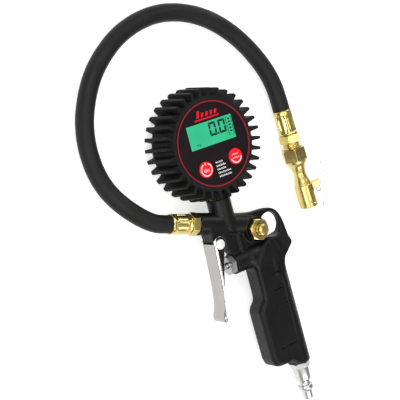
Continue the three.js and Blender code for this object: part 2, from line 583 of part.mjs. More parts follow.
function buildWhip() {
  add('hose', hose(), FINISH.rubber, whip);
  add('chuck_ferrule', ferrule(-CHUCK_STATIONS.ferrule, 0, 7.2), FINISH.brass, chuck);
  add('chuck_fitting', chuckFitting(), FINISH.brass, chuck);
  add('chuck_body', chuckBody(), FINISH.brass, chuck);
  add('chuck_seal', washer(2.4, 4.3, -69.4, -66.4, { sides: 16 }), FINISH.rubber, chuck);
  const poppet = [[0, -72.5], [1.2, -72.3], [1.2, -66.1], [3.6, -66.1], [3.6, -64.1], [0, -64.1]];
  add('chuck_poppet', turned(poppet, { sides: 16 }), FINISH.brass, chuck);
  add('chuck_spring', coilSpring(2.8, 0.35, 3, 2).translate(0, -63.8, 0), FINISH.steel, chuck);
  add('chuck_clip', clip(), FINISH.chrome, chuck);
  const pin = rod(0.9, -4.7, 4.7, { axis: 'z', x: CLIP_PIVOT.x, y: -CLIP_PIVOT.s, sides: 10 });
  add('clip_pin', pin, FINISH.steel, chuck);
  add('clip_spring', clipSpring(), FINISH.steel, chuck);
}

buildGauge();
buildGun();
buildAirValve();
buildReliefValve();
buildWhip();

// The origin is under the middle of the gun and gauge, on the table.
const extent = new THREE.Box3().setFromObject(gun);
const middle = extent.getCenter(new THREE.Vector3());
inflator.position.set(-middle.x, -middle.y, -TABLE_Z);

export default inflator;
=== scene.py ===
"""Looks for a tyre inflator with a digital gauge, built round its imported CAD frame.

Shapes are drawn in millimetres from the datum that the CAD uses: the gauge's axis where it crosses the
gun's mid-plane, +Y up the grip, +X to the dial's right and +Z out of the dial. Machined and cast pieces are
signed distance fields meshed on a fine grid; the rest is mesh, curve and modifier work.
"""

from math import cos, dist, hypot, pi, radians, sin, tan

import bpy
import numpy as np
from mathutils import Matrix, Vector


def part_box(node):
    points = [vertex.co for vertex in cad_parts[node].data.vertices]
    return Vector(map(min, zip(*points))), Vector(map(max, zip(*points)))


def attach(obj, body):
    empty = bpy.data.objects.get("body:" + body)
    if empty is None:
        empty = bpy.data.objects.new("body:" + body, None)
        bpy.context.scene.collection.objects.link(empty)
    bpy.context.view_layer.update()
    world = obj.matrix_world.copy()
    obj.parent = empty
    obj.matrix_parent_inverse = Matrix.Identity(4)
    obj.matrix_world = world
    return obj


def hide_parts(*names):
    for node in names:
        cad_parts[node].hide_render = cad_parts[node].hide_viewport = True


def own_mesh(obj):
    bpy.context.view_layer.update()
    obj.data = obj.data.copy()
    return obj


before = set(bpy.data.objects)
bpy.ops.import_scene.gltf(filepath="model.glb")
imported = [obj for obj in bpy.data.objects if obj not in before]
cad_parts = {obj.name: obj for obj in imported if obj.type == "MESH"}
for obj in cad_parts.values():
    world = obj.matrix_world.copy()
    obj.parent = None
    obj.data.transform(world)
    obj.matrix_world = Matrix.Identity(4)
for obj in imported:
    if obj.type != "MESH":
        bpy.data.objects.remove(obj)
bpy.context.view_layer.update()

MM = 0.001
FACE_Z = 12.5  # the face plate's front above the datum
TABLE_Z = -16.9  # the table the part lies on

face_low, face_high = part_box("face_plate")
DATUM = np.array([(face_low.x + face_high.x) / 2, (face_low.y + face_high.y) / 2, face_high.z - FACE_Z * MM])

STEM_X = -0.75  # axes of the gauge stem, bleed valve, main valve, air inlet and trigger pin
RELIEF = (20.4, -71.7)
VALVE_Y = -90.9
INLET_X = 33.2
PIVOT = (-14.1, -71.8)
HOSE_R = 6.65  # the hose's radius
PRINT_Z = 12.56  # print on the face plate
INK_Z = 12.58  # segments on the display glass
ICON_Z = 13.2  # print on the buttons, its fine strokes a hair above
FINE_Z = 13.22


# -------- local frames

class Local:
    """A frame in the datum's: an origin, a turn about Z, and a roll about its own +Y that lifts its +X."""

    def __init__(self, origin=(0.0, 0.0, 0.0), turn=0.0, roll=0.0):
        c, s, u, v = cos(turn), sin(turn), cos(roll), sin(roll)
        self.origin = np.array(origin, float)
        self.axes = np.array([[c * u, s * u, v], [-s, c, 0], [-c * v, -s * v, u]], float)

    def to_datum(self, points):
        return np.asarray(points, float) @ self.axes + self.origin


GUN = Local()
OUTLET = Local((-0.76, -60.8, 0), radians(72))  # +Y out along the hose's start
CHUCK = Local((81.6, 4.0, TABLE_Z + 8.55), 0.046, 0.628)  # +Y back up the hose


# -------- distance fields

def union(a, b, blend=0.01):
    """The smaller of two distances, with a fillet of about that size."""
    h = np.maximum(blend - abs(a - b), 0) / blend
    return np.minimum(a, b) - h * h * blend / 4


def overlap(a, b, blend=0.01):
    return -union(-a, -b, blend)


def cut(a, tool, blend=0.01):
    return overlap(a, -tool, blend)


def outline(x, y, points):
    """Signed distance to a closed outline in a plane, negative inside."""
    shape = np.broadcast(x, y).shape
    nearest = np.full(shape, np.inf)
    inside = np.zeros(shape, bool)
    for (ax, ay), (bx, by) in zip(points, points[1:] + points[:1]):
        ex, ey = bx - ax, by - ay
        wx, wy = x - ax, y - ay
        t = np.clip((wx * ex + wy * ey) / (ex * ex + ey * ey), 0, 1)
        nearest = np.minimum(nearest, (wx - ex * t) ** 2 + (wy - ey * t) ** 2)
        if ay != by:
            inside ^= ((ay > y) != (by > y)) & (x < ex * (y - ay) / ey + ax)
    return np.where(inside, -1, 1) * np.sqrt(nearest)


def rounded(a, b, r):
    """Where two distances are both inside, with a round edge of radius r between them."""
    a, b = a + r, b + r
    return np.hypot(np.maximum(a, 0), np.maximum(b, 0)) + np.minimum(np.maximum(a, b), 0) - r


def slab(flat, z, half, r):
    """A plane outline's distance, given thickness either side of z = 0 and round edges."""
    return rounded(flat, abs(z) - half, r)


def bar(x, y, z, start, end, radius, r=0.3):
    """A round bar between two points, its rims rounded by r."""
    start, end = np.array(start, float), np.array(end, float)
    length = np.linalg.norm(end - start)
    ux, uy, uz = (end - start) / length
    wx, wy, wz = x - start[0], y - start[1], z - start[2]
    along = wx * ux + wy * uy + wz * uz
    away = np.sqrt(np.maximum(wx * wx + wy * wy + wz * wz - along * along, 0))
    return rounded(away - radius, abs(along - length / 2) - length / 2, r)


def hexagon(u, v, across_flats, turn=0.0):
    """Distance to a hexagon round the origin; turn 0 puts flats at +u and -u."""
    angles = [turn + k * pi / 3 for k in range(6)]
    return np.maximum.reduce([u * cos(a) + v * sin(a) for a in angles]) - across_flats / 2


def corner_arcs(points, radius, steps):
    """An outline with its corners rounded by arcs, or less where a side is short."""
    points = [Vector(p) for p in points]
    out = []
    for i, corner in enumerate(points):
        back = points[i - 1] - corner
        on = points[(i + 1) % len(points)] - corner
        reach = min(radius, back.length * 0.45, on.length * 0.45)
        a, b = corner + back.normalized() * reach, corner + on.normalized() * reach
        for k in range(steps + 1):
            t = k / steps
            out.append(tuple(a * (1 - t) ** 2 + corner * 2 * t * (1 - t) + b * t * t))
    return out


def mesh_of(field, low, high, step):
    """Vertices and faces of a field's zero surface inside a box: surface nets, then pulled onto the field."""
    axes = [np.arange(a, b + step, step) for a, b in zip(low, high)]
    x, y, z = np.meshgrid(*axes, indexing="ij", sparse=True)
    value = np.broadcast_to(field(x, y, z), [len(a) for a in axes])
    inside = value < 0
    cells = tuple(n - 1 for n in value.shape)
    total = np.zeros(cells + (3,), np.float32)
    count = np.zeros(cells, np.float32)
    for axis in range(3):
        others = [a for a in range(3) if a != axis]
        for offset in ((0, 0), (0, 1), (1, 0), (1, 1)):
            window = [slice(0, n) for n in cells]
            for other, shift in zip(others, offset):
                window[other] = slice(shift, cells[other] + shift)
            ahead = list(window)
            ahead[axis] = slice(1, cells[axis] + 1)
            a, b = value[tuple(window)], value[tuple(ahead)]
            crossed = (a < 0) != (b < 0)
            total[..., axis][crossed] += a[crossed] / (a[crossed] - b[crossed])
            for other, shift in zip(others, offset):
                total[..., other][crossed] += shift
            count[crossed] += 1
    active = count > 0
    number = np.full(cells, -1)
    number[active] = np.arange(active.sum())
    corner = np.argwhere(active)
    points = np.array(low) + step * (corner + total[active] / count[active][:, None])
    faces = []
    for axis in range(3):
        u, v = (axis + 1) % 3, (axis + 2) % 3
        near, far = [slice(None)] * 3, [slice(None)] * 3
        near[axis], far[axis] = slice(0, -1), slice(1, None)
        edge = np.argwhere(inside[tuple(near)] != inside[tuple(far)])
        edge = edge[(edge[:, u] > 0) & (edge[:, v] > 0) & (edge[:, u] < cells[u]) & (edge[:, v] < cells[v])]
        quad = []
        for du, dv in ((1, 1), (0, 1), (0, 0), (1, 0)):
            cell = edge.copy()
            cell[:, u] -= du
            cell[:, v] -= dv
            quad.append(number[tuple(cell.T)])
        quad = np.stack(quad, 1)
        outward = inside[tuple(edge.T)]
        faces.append(np.where(outward[:, None], quad, quad[:, ::-1]))
    reach = step / 4
    for _ in range(3):
        here = field(*points.T)
        slope = np.stack([
            (field(*(points + d).T) - field(*(points - d).T)) / (2 * reach) for d in np.eye(3) * reach
        ], 1)
        size = np.maximum((slope ** 2).sum(1), 0.05)
        points = points - slope * np.clip(here / size, -step / 2, step / 2)[:, None]
    return points, np.concatenate(faces)


# -------- pieces

def linked(name, data):
    """A new object in the scene."""
    made = bpy.data.objects.new(name, data)
    bpy.context.scene.collection.objects.link(made)
    return made


def put(node, values):
    """Set a shader node's inputs by name."""
    for name, value in values.items():
        node.inputs[name].default_value = value


def add(name, vertices, faces, material, body, replaces=(), place=GUN, crease=30, bevel=0):
    """A mesh piece drawn in millimetres in a local frame, riding on a CAD body."""
    mesh = bpy.data.meshes.new(name)
    row = place.to_datum(vertices) * MM + DATUM
    mesh.from_pydata(row.tolist(), [], [list(map(int, f)) for f in faces])
    mesh.validate()
    mesh.shade_smooth()
    mesh.set_sharp_from_angle(angle=radians(crease))
    piece = linked(name, mesh)
    piece.data.materials.append(material)
    if bevel:
        edge = piece.modifiers.new("soft edges", "BEVEL")
        edge.width = bevel * MM
        edge.segments = 2
        edge.limit_method = "ANGLE"
        edge.angle_limit = radians(crease)
        edge.harden_normals = True
    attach(piece, body)
    if replaces:
        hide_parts(*replaces)
    return piece


def sculpt(name, field, low, high, step, material, body, replaces=(), place=GUN, crease=40):
    """A piece meshed from its distance field."""
    points, faces = mesh_of(field, low, high, step)
    return add(name, points, faces, material, body, replaces, place, crease)


def merged(*shapes):
    """Several (vertices, faces) shapes as one."""
    vertices, faces, start = [], [], 0
    for points, polygons in shapes:
        vertices.append(np.asarray(points, float))
        faces += [[i + start for i in polygon] for polygon in polygons]
        start += len(points)
    return np.concatenate(vertices), faces


def on_axis(columns, axis, center):
    """A closed surface round an axis, from columns that each have an angle and (radius, height) pairs."""
    swap = {"y": (0, 1, 2), "z": (0, 2, 1), "x": (1, 0, 2)}[axis]
    flip = axis != "y"
    rows = len(columns[0][1])
    points = []
    for angle, pairs in columns:
        for r, h in pairs:
            local = (r * cos(angle), h, r * sin(angle))
            points.append([local[k] for k in swap])
    faces = []
    for i in range(len(columns)):
        j = (i + 1) % len(columns)
        for k in range(rows - 1):
            a, b, c, d = i * rows + k, i * rows + k + 1, j * rows + k + 1, j * rows + k
            faces.append((d, c, b, a) if flip else (a, b, c, d))
    return np.array(points) + np.array(center, float), faces


def lathe(profile, axis="y", center=(0, 0, 0), sides=72):
    """A (radius, height) profile turned round an axis, drawn so that its outside is on the right."""
    return on_axis([(2 * pi * i / sides, profile) for i in range(sides)], axis, center)


def hexagon_bar(across_flats, low, high, axis="y", center=(0, 0, 0), turn=0.0, bore=0.0, chamfers=(1, 1)):
    """A hexagon bar with its ends turned to a 30 degree chamfer; chamfers says which ends, low then high."""
    columns = []
    steps = 8  # columns to a side
    apothem, slope = across_flats / 2, tan(radians(30))
    for i in range(6 * steps):
        local = (i / steps % 1 - 0.5) * pi / 3
        outer = apothem / cos(local)
        rim = apothem * 0.97
        drop = (outer - rim) * slope
        low_r, low_h = (rim, low + drop) if chamfers[0] else (outer - 0.05, low + 0.05)
        high_r, high_h = (rim, high - drop) if chamfers[1] else (outer - 0.05, high - 0.05)
        pairs = [(bore, low), (low_r, low), (outer, low_h), (outer, high_h), (high_r, high), (bore, high)]
        if bore:
            pairs.append((bore, low))
        columns.append((turn + i / steps * pi / 3, pairs))
    return on_axis(columns, axis, center)


def grooved(radius, low, high, pitch, depth):
    """A profile with rings like those of a thread."""
    count = max(1, round((high - low) / pitch))
    step = (high - low) / count
    profile = [(0, low)]
    for i in range(count):
        h = low + i * step
        profile += [(radius - depth, h + 0.02), (radius - depth, h + step * 0.2), (radius, h + step * 0.5),
                    (radius, h + step * 0.65), (radius - depth, h + step * 0.95)]
    return profile + [(0, high)]


def crimped(radius, across_flats, low, high, crimp_low, crimp_high, turn, wall, dent):
    """A ferrule sleeve squeezed to six long flats between two heights, each with a shallow rounded dent."""
    columns = []
    sides, rows = 150, 64
    half_w, half_h = across_flats * 0.21, (crimp_high - crimp_low) / 2 - 2.2
    mid = (crimp_low + crimp_high) / 2
    for i in range(sides):
        angle = 2 * pi * i / sides
        local = ((angle - turn) / (pi / 3) % 1 - 0.5) * pi / 3
        flat_r = across_flats / 2 / cos(local)
        across = across_flats / 2 * tan(local)
        pairs = [(radius - wall, low)]
        for k in range(rows + 1):
            h = low + (high - low) * k / rows
            ramp = max(crimp_low - h, h - crimp_high, 0) * 0.7
            edge = min(h - low, high - h)
            r = min(radius, flat_r + ramp) - 0.35 * max(0, 1 - edge / 0.5)
            dx, dy = abs(across) - half_w + 1, abs(h - mid) - half_h + 1
            away = hypot(max(dx, 0), max(dy, 0)) + min(max(dx, dy), 0) - 1
            r -= dent * min(1, max(0, 0.5 - away / 0.9))
            pairs.append((r, h))
        pairs += [(radius - wall, high), (radius - wall, low)]
        columns.append((angle, pairs))
    return on_axis(columns, "y", (0, 0, 0))


def ribbon(path, width, z):
    """A flat line of even width drawn over the dial at one height, from a list of points."""
    points, faces = [], []
    path = [Vector(p) for p in path]
    for i, p in enumerate(path):
        ahead = (path[min(i + 1, len(path) - 1)] - path[max(i - 1, 0)]).normalized()
        side = Vector((-ahead.y, ahead.x)) * width / 2
        points += [(p.x - side.x, p.y - side.y, z), (p.x + side.x, p.y + side.y, z)]
        if i:
            k = 2 * i
            faces.append((k - 2, k, k + 1, k - 1))
    return points, faces


def patch(outline_points, z):
    """A flat filled shape on the dial."""
    return [(x, y, z) for x, y in outline_points], [list(range(len(outline_points)))]


# -------- camera and stage

def build_camera():
    """The main view: above and to the left of the dial, rolled a little against the table."""
    right = Vector((0.8002, -0.2542, 0.5432)).normalized()
    back = Vector((-0.519, 0.1602, 0.8396)).normalized()
    up = back.cross(right).normalized()
    right = up.cross(back)
    camera = bpy.data.cameras.new("camera")
    camera.lens = 99
    camera.sensor_width = 36
    camera.clip_start, camera.clip_end = 0.05, 20
    view = linked("camera", camera)
    place = Matrix((right, up, back)).transposed().to_4x4()
    place.translation = Vector(DATUM) + Vector((-429.9, 90.3, 669.8)) * MM
    view.matrix_world = place
    bpy.context.scene.camera = view


def softbox(name, position, size, power, aim=(0, -30, 0)):
    """A rectangular light, placed and aimed in millimetres from the datum."""
    light = bpy.data.lights.new(name, "AREA")
    light.shape = "RECTANGLE"
    light.size, light.size_y = size[0] * MM, size[1] * MM
    light.energy = power
    lamp = linked(name, light)
    lamp.location = Vector(DATUM) + Vector(position) * MM
    target = Vector(DATUM) + Vector(aim) * MM
    lamp.rotation_euler = (target - lamp.location).to_track_quat("-Z", "Y").to_euler()


def build_world():
    """A studio dome, bright overhead, with a small black flag where the trigger's flanges look."""
    world = bpy.data.worlds.new("studio")
    bpy.context.scene.world = world
    world.use_nodes = True
    tree = world.node_tree
    coords = tree.nodes.new("ShaderNodeTexCoord")

    def toward(direction, interpolation, limits):
        """How nearly a ray points along a direction, stretched between limits."""
        facing = tree.nodes.new("ShaderNodeVectorMath")
        facing.operation = "DOT_PRODUCT"
        facing.inputs[1].default_value = Vector(direction).normalized()
        spread = tree.nodes.new("ShaderNodeMapRange")
        spread.interpolation_type = interpolation
        put(spread, limits)
        tree.links.new(coords.outputs["Generated"], facing.inputs[0])
        tree.links.new(facing.outputs["Value"], spread.inputs["Value"])
        return spread.outputs["Result"]

    ramp = tree.nodes.new("ShaderNodeValToRGB")
    ramp.color_ramp.interpolation = "EASE"
    stops = ramp.color_ramp.elements
    for position, shade in ((0.0, 0.12), (0.5, 0.22), (0.74, 0.46), (0.95, 0.84)):
        stops.new(position).color = (shade, shade, shade, 1)
    stops.remove(stops[0])
    stops.remove(stops[-1])
    tree.links.new(toward((-0.22, 0.22, 0.95), "LINEAR", {"From Min": -1}), ramp.inputs["Fac"])
    limits = {"From Min": 0.95, "From Max": 0.985, "To Min": 1.0, "To Max": 0.08}
    flag = toward((0.54, -0.11, 0.84), "SMOOTHSTEP", limits)
    shaded = tree.nodes.new("ShaderNodeMix")
    shaded.data_type = "RGBA"
    shaded.blend_type = "MULTIPLY"
    put(shaded, {"Factor": 1.0})
    tree.links.new(ramp.outputs["Color"], shaded.inputs["A"])
    tree.links.new(flag, shaded.inputs["B"])
    tree.links.new(shaded.outputs["Result"], tree.nodes["Background"].inputs["Color"])
    put(tree.nodes["Background"], {"Strength": 1.0})


def build_stage():
    build_world()
    bpy.context.scene.view_settings.view_transform = "Standard"
    softbox("key", (-300, 520, 760), (420, 320), 2.6)
    softbox("strip", (-640, -190, 700), (80, 560), 2.6, aim=(20, -140, 0))
    softbox("overhead", (120, -160, 900), (180, 260), 0.8)
    softbox("fill", (620, 420, 460), (220, 320), 1.4)
    softbox("rim", (40, -620, 420), (500, 160), 1.6)
    floor = bpy.data.meshes.new("floor")
    reach = 6.0  # metres
    corners = [(-reach, -reach, 0), (reach, -reach, 0), (reach, reach, 0), (-reach, reach, 0)]
    floor.from_pydata(corners, [], [(0, 1, 2, 3)])
    plane = linked("floor", floor)
    plane.location.z = float(DATUM[2]) + TABLE_Z * MM - 0.0002
    pale = Finish("floor", (0.62, 0.62, 0.62), 0.7, specular=0.2)
    pale.vary_roughness(200, 0.05).vary_color(300, (0.60, 0.60, 0.60)).relief(1.5, 0.01)
    put(pale.shader, {"Emission Color": (1, 1, 1, 1), "Emission Strength": 0.62})
    plane.data.materials.append(pale.material)


# -------- materials

class Finish:
    """A Principled material whose colour, roughness and relief come from procedural noise."""

    def __init__(self, name, color, roughness, metallic=0.0, specular=0.5, coat=0.0):
        self.material = bpy.data.materials.new(name)
        self.material.use_nodes = True
        self.tree = self.material.node_tree
        self.shader = self.tree.nodes["Principled BSDF"]
        self.color = color
        self.roughness = roughness
        put(self.shader, {"Base Color": (*color, 1), "Roughness": roughness, "Metallic": metallic,
                          "Specular IOR Level": specular, "Coat Weight": coat})
        self.coords = self.node("ShaderNodeTexCoord").outputs["Object"]
        self.height = None

    def node(self, kind, **settings):
        made = self.tree.nodes.new(kind)
        for key, value in settings.items():
            setattr(made, key, value)
        return made

    def link(self, out, into):
        self.tree.links.new(out, into)

    def noise(self, size, detail=3.0, stretch=(1, 1, 1), roughness=0.55):
        """Noise with features about size millimetres across, longer along an axis with a small stretch."""
        mapping = self.node("ShaderNodeMapping")
        put(mapping, {"Scale": [s / (size * MM) for s in stretch]})
        texture = self.node("ShaderNodeTexNoise")
        put(texture, {"Scale": 1.0, "Detail": detail, "Roughness": roughness})
        self.link(self.coords, mapping.inputs["Vector"])
        self.link(mapping.outputs["Vector"], texture.inputs["Vector"])
        return texture.outputs["Fac"]

    def spread(self, value, low, high, start=0.3, end=0.7):
        """A 0 to 1 value stretched from start..end onto low..high."""
        ranged = self.node("ShaderNodeMapRange")
        put(ranged, {"From Min": start, "From Max": end, "To Min": low, "To Max": high})
        self.link(value, ranged.inputs["Value"])
        return ranged.outputs["Result"]

    def vary_roughness(self, size, amount, **kind):
        value = self.spread(self.noise(size, **kind), self.roughness - amount, self.roughness + amount)
        self.link(value, self.shader.inputs["Roughness"])
        return self

    def vary_color(self, size, other, amount=1.0, **kind):
        mix = self.node("ShaderNodeMix", data_type="RGBA")
        put(mix, {"A": (*self.color, 1), "B": (*other, 1)})
        self.link(self.spread(self.noise(size, **kind), 0, amount), mix.inputs["Factor"])
        self.link(mix.outputs["Result"], self.shader.inputs["Base Color"])
        return self

    def relief(self, size, depth, **kind):
        """Bumps depth millimetres high; calls add up."""
        bump = self.node("ShaderNodeBump")
        put(bump, {"Distance": depth * MM})
        self.link(self.noise(size, **kind), bump.inputs["Height"])
        if self.height is not None:
            self.link(self.height, bump.inputs["Normal"])
        self.height = bump.outputs["Normal"]
        self.link(self.height, self.shader.inputs["Normal"])
        return self


def powder_coat():
    finish = Finish("black_powder_coat", (0.0040, 0.0039, 0.0037), 0.38, specular=0.20)
    finish.vary_roughness(14, 0.05).vary_color(30, (0.006, 0.006, 0.006))
    return finish.relief(0.35, 0.035, detail=2).relief(2.4, 0.03).material


def moulded_rubber(name, gloss=0.62):
    finish = Finish(name, (0.0055, 0.0053, 0.0052), gloss, specular=0.16)
    finish.vary_roughness(9, 0.06).vary_color(16, (0.009, 0.009, 0.009))
    return finish.relief(0.5, 0.03).relief(5, 0.05).material


def brass(name, lines=(1, 1, 1)):
    finish = Finish(name, (0.67, 0.54, 0.21), 0.30, metallic=1.0)
    finish.vary_roughness(2.5, 0.03, stretch=lines).vary_color(9, (0.62, 0.475, 0.155))
    return finish.relief(1.4, 0.0008, stretch=lines).material


def steel(name, color=(0.62, 0.62, 0.63), roughness=0.26):
    finish = Finish(name, color, roughness, metallic=1.0)
    finish.vary_roughness(2.5, 0.03).vary_color(6, tuple(c * 0.9 for c in color))
    return finish.relief(1.6, 0.0008).material


def chrome():
    finish = Finish("bright_chrome", (0.40, 0.39, 0.382), 0.13, metallic=1.0)
    finish.vary_roughness(8, 0.04).vary_color(20, (0.37, 0.36, 0.353))
    return finish.relief(7, 0.006).material


def plastic(name, color, roughness=0.45, other=None, specular=0.5):
    finish = Finish(name, color, roughness, specular=specular)
    finish.vary_roughness(7, 0.05).vary_color(12, other or tuple(c * 1.25 for c in color))
    return finish.relief(0.4, 0.01).material


# -------- gun casting

GRIP_OUTLINE = [
    (11.4, -121.3), (10.8, -125), (6.6, -128.9), (4.7, -132.6), (4.9, -150), (5.2, -170.5),
    (6.8, -175.8), (10.4, -177.5), (21.9, -177.4), (24.8, -180.4), (28, -182.8), (36, -182.8), (36, -96),
    (34.5, -89.5), (31.5, -81.2), (25, -82.5), (11.4, -99),
]
BEAK_OUTLINE = [
    (28, -80.8), (50.2, -81), (50.8, -86), (52.1, -89.4), (52.5, -91.2), (51.6, -92.7), (47.6, -94.6),
    (43.8, -96.6), (40.6, -98.9), (38.6, -101.6), (37.2, -105), (36, -111), (28, -113),
]
EYE_OUTLINE = [
    (10, -57.4), (17, -58.4), (23.7, -59.2), (29.3, -59.5), (35, -59.9), (40.2, -60.9), (43.6, -62.8),
    (46.8, -66.2), (48.8, -71.2), (49.9, -77), (50.6, -86), (28, -92), (8, -76),
]
WEB_OUTLINE = [(-3.8, -62), (-5.2, -80.5), (-3.5, -83.2), (-3.5, -88), (22, -92), (22, -64)]
LUG_OUTLINE = [(-18.5, -57), (-18.5, -69), (-16.4, -70.2), (-14.6, -76), (-10.5, -76), (-4, -70), (-4, -57)]


def grip_panel(x, y, z, grip):
    """A shallow panel on each side of the grip: a fine border, a base line and three short grooves."""
    depth = 9 - abs(z)
    border = np.maximum(abs(x - 30.9) - 0.22, abs(y + 132.2) - 31.2)
    base = np.maximum(abs(y + 164.3 - 0.06 * (x - 22.6)) - 0.4, abs(x - 22.6) - 7.9)
    grip = cut(grip, np.maximum(border, depth - 0.3), 0.15)
    grip = cut(grip, np.maximum(base, depth - 0.8), 0.15)
    for level in (-107.7, -120.1, -132.5):
        short = np.maximum(abs(y - level) - 0.42, abs(x - 25.8) - 4.3)
        grip = cut(grip, np.maximum(short, depth - 0.8), 0.15)
    return grip


def casting(x, y, z):
    """The die-cast gun: grip, shoulder, eye, barrel, riser, valve housing, web and trigger lug."""
    flat = outline(x, y, corner_arcs(GRIP_OUTLINE, 1.6, 3))
    grip = rounded(flat, abs(z) - 9, 2.2 + 1.6 * np.clip((16 - x) / 6, 0, 1))
    back = bar(x, y, z, (32.1, -93, 0), (33.1, -182.8, 0), 9, 1.2)
    beak = slab(outline(x, y, corner_arcs(BEAK_OUTLINE, 1.2, 3)), z, 8, 1.2)
    grip = union(union(grip, back, 0.8), beak, 3.0)
    shoulder = 0.325 * (x - 31.1) + 0.1855 * (y + 81.1) + 0.927 * (abs(z) - 9)
    grip = overlap(grip, shoulder, 0.9)
    grip = grip_panel(x, y, z, grip)
    eye = slab(outline(x, y, corner_arcs(EYE_OUTLINE, 2, 3)), z, 3.2, 1.4)
    hole = np.hypot(x - 36.9, y + 73) - 9.3
    web = slab(outline(x, y, WEB_OUTLINE), z, 4, 0.6)
    rib = slab(np.maximum(abs(x - 6.4) - 1.5, abs(y + 76) - 11), z, 5.2, 0.8)
    lug = slab(outline(x, y, LUG_OUTLINE), z, 7.6, 0.7)
    recess = rounded(np.hypot(x - PIVOT[0], y - PIVOT[1]) - 6.7, 6.6 - abs(z), 0.2)
    below = np.maximum(np.maximum(y - PIVOT[1], x + 2.5), 6.6 - abs(z))
    lug = cut(cut(lug, recess, 0.3), below, 0.3)
    out = OUTLET.to_datum([(0, -22, 0), (0, 24.7, 0)])
    barrel = bar(x, y, z, *out, 8.3, 0.7)
    riser = bar(x, y, z, (STEM_X, -70, 0), (STEM_X, -41, 0), 8.95, 0.6)
    foot = np.maximum(-0.76 * (x - 1.8) - 0.65 * (y + 66.7), 0.82 * (x - 1.8) - 0.58 * (y + 66.7))
    riser = overlap(riser, foot, 0.3)
    boss = bar(x, y, z, (*RELIEF, -8), (*RELIEF, 8.4), 9.5, 0.6)
    housing = bar(x, y, z, (-3.6, VALVE_Y, 0), (22, VALVE_Y, 0), 8.3, 0.9)
    body = union(union(barrel, riser, 0.5), boss, 0.9)
    body = union(body, union(web, rib, 0.8), 0.9)
    body = union(body, eye, 2.0)
    body = union(body, lug, 0.8)
    root = bar(x, y, z, (9, VALVE_Y, 0), (26, VALVE_Y, 0), 8.95, 3)
    body = union(body, union(grip, union(housing, root, 2.0), 3.6), 0.9)
    body = cut(body, np.maximum(hole, -(np.hypot(x - RELIEF[0], y - RELIEF[1]) - 9.2)), 1.4)
    bores = [
        ((STEM_X, -53, 0), (STEM_X, -40, 0), 6.8), (*OUTLET.to_datum([(0, 13, 0), (0, 26, 0)]), 6.9),
        ((*RELIEF, -1.9), (*RELIEF, 9), 6.3), ((*RELIEF, 6.8), (*RELIEF, 12), 8.8),
        ((-5, VALVE_Y, 0), (20, VALVE_Y, 0), 5.6), ((INLET_X, -185, 0), (INLET_X, -168, 0), 6.9),
    ]
    for start, end, radius in bores:
        body = cut(body, bar(x, y, z, start, end, radius, 0.2), 0.35)
    return body


def build_casting():
    low, high = (-29, -184.5, -9.8), (55.5, -39.5, 9.8)
    sculpt("casting", casting, low, high, 0.5, powder_coat(), "gun", ["gun_body"])


# -------- gauge

RIBS = 32
RIB_OUTLINE = [(32.5, 12.2), (39.2, 14.8), (40.4, 14.2), (42.4, -13.6), (41.2, -15.7), (32.5, -16)]
SLEEVE_OUTLINE = [
    (31.5, 12.8), (33.1, 12.8), (34.1, 12.1), (35.4, -14.6), (34.6, -16.9), (29.2, -16.9), (29.2, -15.2),
    (31.5, -15.2),
]


def boot(x, y, z):
    """The ribbed rubber boot: a sleeve with thirty-two ribs, each fading into the sleeve with a fillet."""
    r = np.hypot(x, y)
    step = 2 * pi / RIBS
    turn = ((np.arctan2(y, x) - radians(2)) / step + 0.5) % 1 * step - step / 2
    u, v = r * np.cos(turn), abs(r * np.sin(turn))
    half = 1.05 + 0.1 * np.maximum(40 - u, 0) + 0.01 * (14 - z)
    rib = rounded(outline(u, z, corner_arcs(RIB_OUTLINE, 0.7, 3)), v - half, 0.3)
    body = union(outline(r, z, SLEEVE_OUTLINE), rib, 1.0)
    stem = np.maximum(np.hypot(x - STEM_X, z) - 6.6, y + 20)
    return cut(body, stem, 0.6)


def segment_digit(x, y, width, height, stroke):
    """The six outer strokes of a seven-segment nought, mitred at the corners, as flat shapes."""
    gap, top, middle, right = stroke * 0.09, y + height, y + height / 2, x + width
    inner = stroke + gap
    shapes = [
        [(x + inner, top - stroke), (right - inner, top - stroke), (right - gap, top), (x + gap, top)],
        [(x + gap, y), (right - gap, y), (right - inner, y + stroke), (x + inner, y + stroke)],
        [(x, top - gap), (x, middle + gap), (x + stroke, middle + stroke * 0.45), (x + stroke, top - inner)],
        [(x, middle - gap), (x, y + gap), (x + stroke, y + inner), (x + stroke, middle - stroke * 0.45)],
    ]
    return shapes + [[(x + right - u, v) for u, v in reversed(shape)] for shape in shapes[2:]]


LCD = (-19.5, -0.6, 39.9, 17.4)  # left, bottom, width, height


def on_lcd(u, v):
    """A point on the display: u from its left edge, v down from its top edge, both 0 to 1."""
    left, bottom, width, height = LCD
    return left + u * width, bottom + (1 - v) * height


def box_shape(low, high):
    """A box between two corners."""
    (x0, y0, z0), (x1, y1, z1) = low, high
    points = [(x, y, z) for z in (z0, z1) for x, y in ((x0, y0), (x1, y0), (x1, y1), (x0, y1))]
    faces = [(3, 2, 1, 0), (4, 5, 6, 7), (0, 1, 5, 4), (1, 2, 6, 5), (2, 3, 7, 6), (3, 0, 4, 7)]
    return points, faces


